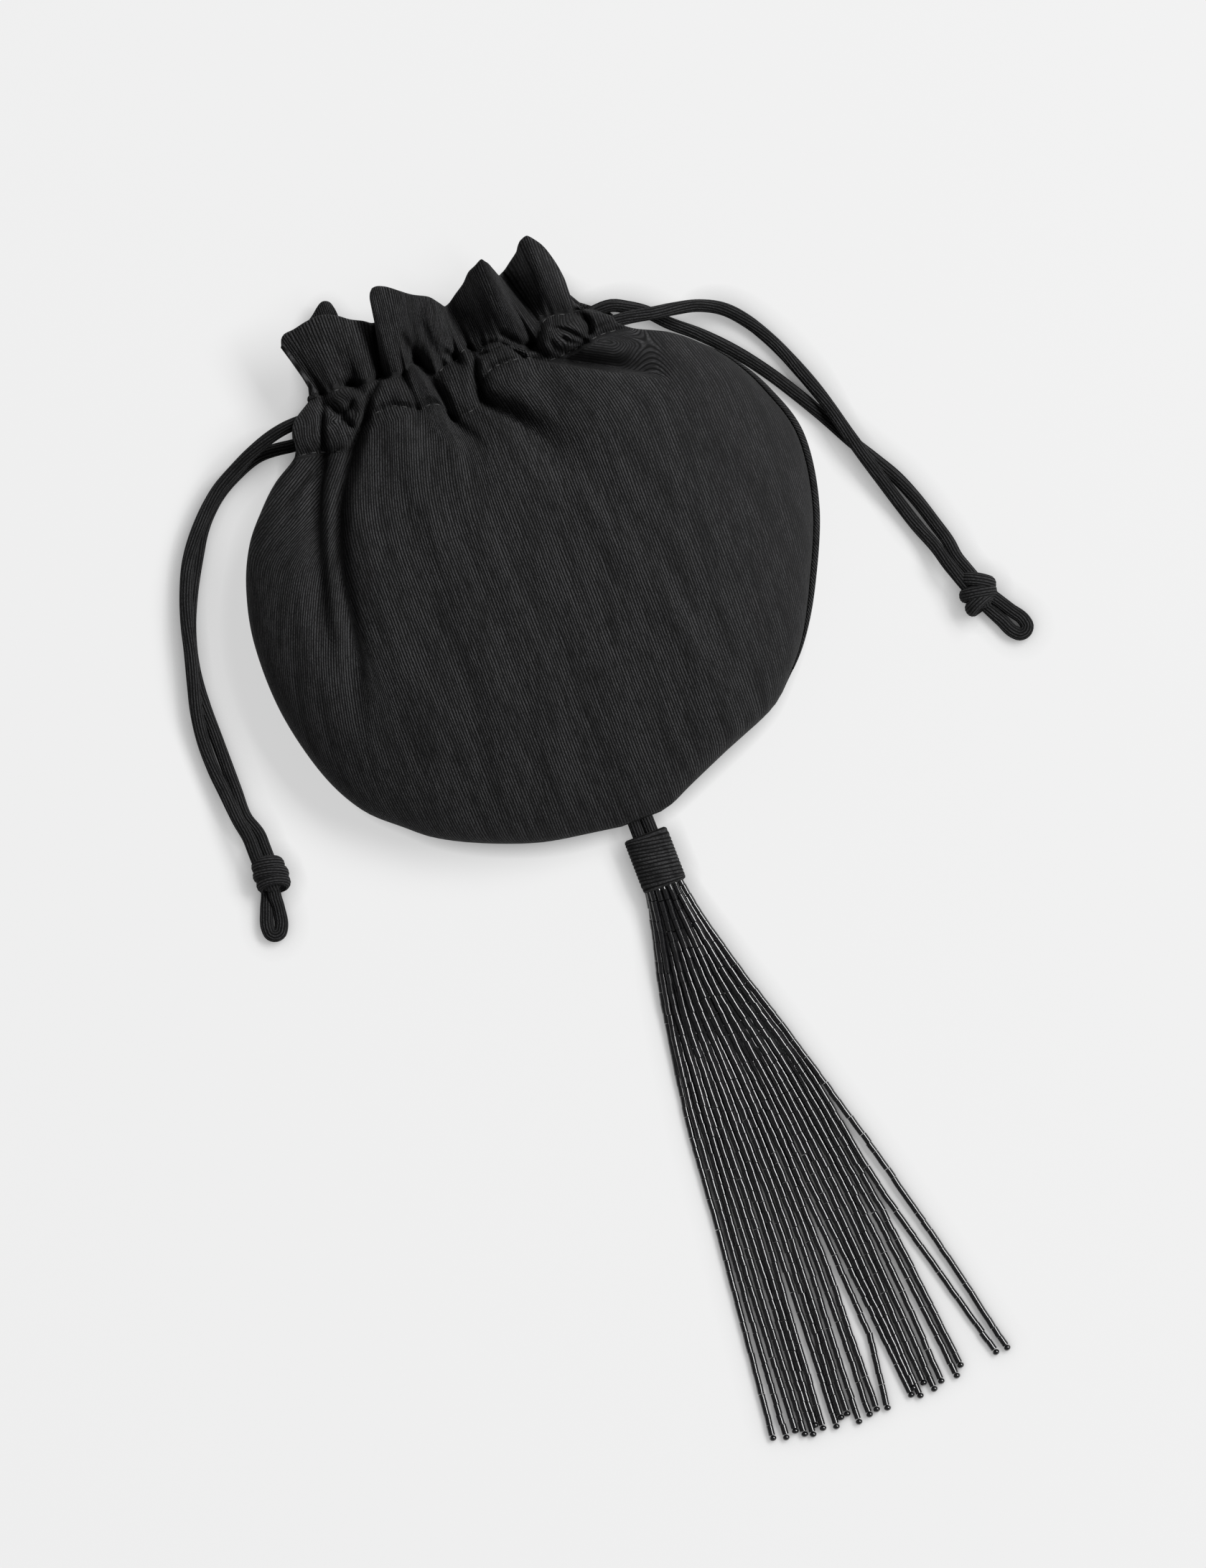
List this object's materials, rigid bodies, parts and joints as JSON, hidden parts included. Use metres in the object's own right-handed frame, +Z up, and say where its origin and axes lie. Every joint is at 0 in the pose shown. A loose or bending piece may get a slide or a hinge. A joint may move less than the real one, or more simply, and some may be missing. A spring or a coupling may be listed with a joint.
{
  "type": "drawstring pouch bag with a bead tassel",
  "caption": "Round ribbed-cloth pouch lying on its back, with a gathered ruffled mouth, knotted doubled drawstrings at both sides and a bugle-bead tassel at the bottom.",
  "frame": {"origin": "centre of the bottom of the object's box, measured without its drawstrings, on the surface that it lies on", "axes": "+Y along the bag from the tassel to the mouth, +Z up from the surface, +X to the right with the mouth away from the viewer"},
  "size_m": [0.2903, 0.4314, 0.047],
  "materials": {
    "ribbed_cloth": "black ribbed cloth with fine uneven ribs, matte",
    "cloth_cord": "black turned tube of the same ribbed cloth, matte",
    "black_glass": "opaque black glass bugle beads, glossy"
  },
  "bodies": {
    "root": {"front_panel": "ribbed_cloth", "back_panel": "ribbed_cloth", "left_drawstring_channel": "cloth_cord", "left_drawstring_a": "cloth_cord", "left_drawstring_b": "cloth_cord", "left_knot": "cloth_cord", "right_drawstring_channel": "cloth_cord", "right_drawstring_a": "cloth_cord", "right_drawstring_b": "cloth_cord", "right_knot": "cloth_cord", "tassel_loop": "cloth_cord", "tassel_wrap": "ribbed_cloth", "tassel_strands": "black_glass"}
  },
  "joints": []
}
